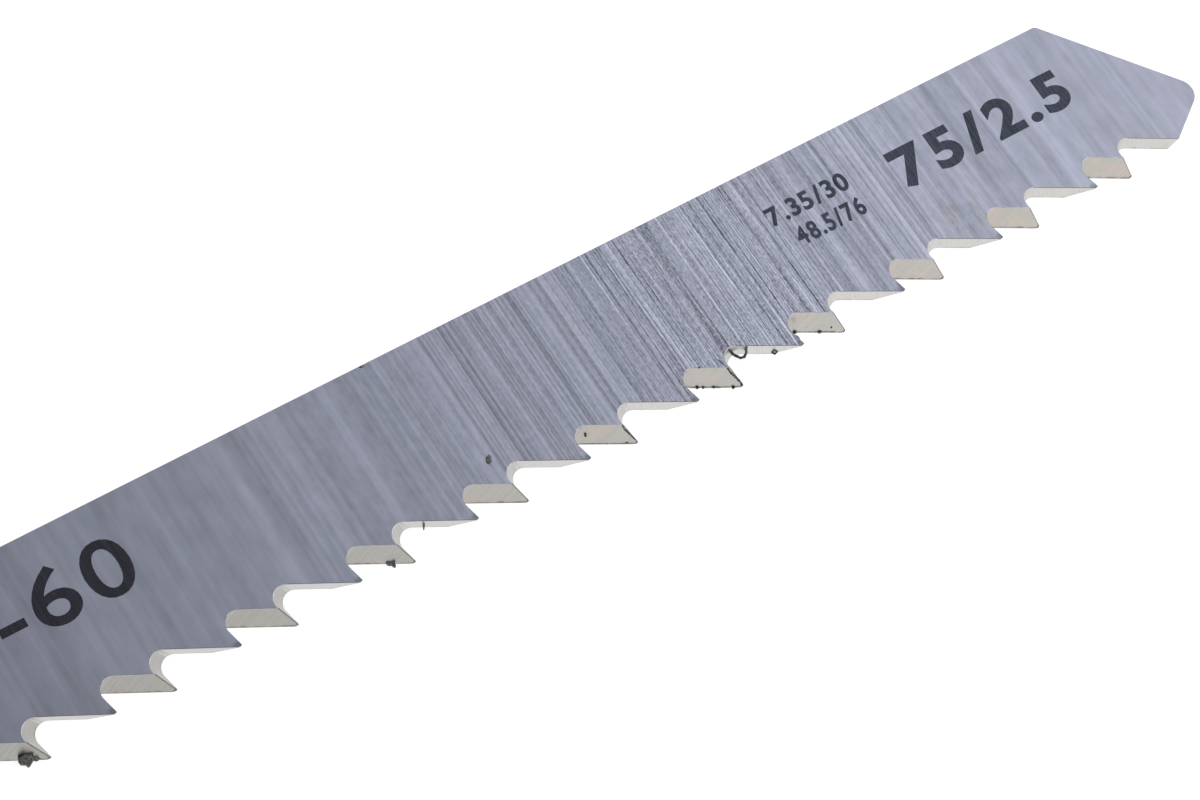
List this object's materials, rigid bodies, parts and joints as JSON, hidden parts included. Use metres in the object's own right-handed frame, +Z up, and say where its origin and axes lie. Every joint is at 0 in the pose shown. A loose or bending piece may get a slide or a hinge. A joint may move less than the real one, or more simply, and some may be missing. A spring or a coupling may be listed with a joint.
{
  "type": "jigsaw blade",
  "caption": "Flat steel saw blade with a lugged shank, ground teeth that lean by turns to either face, and a slanted free end.",
  "frame": {"origin": "on the shank's underside, on the shank's centre line, in line with the lugs' shoulder that faces the free end", "axes": "+X from the shank to the free end, +Y from the teeth to the back edge, +Z up out of the marked face; the blade lies flat"},
  "size_m": [0.1, 0.011, 0.0014],
  "materials": {
    "ground_steel": "bright ground steel with fine cross-grain grinding lines"
  },
  "bodies": {
    "root": {"blade": "ground_steel"}
  },
  "joints": []
}
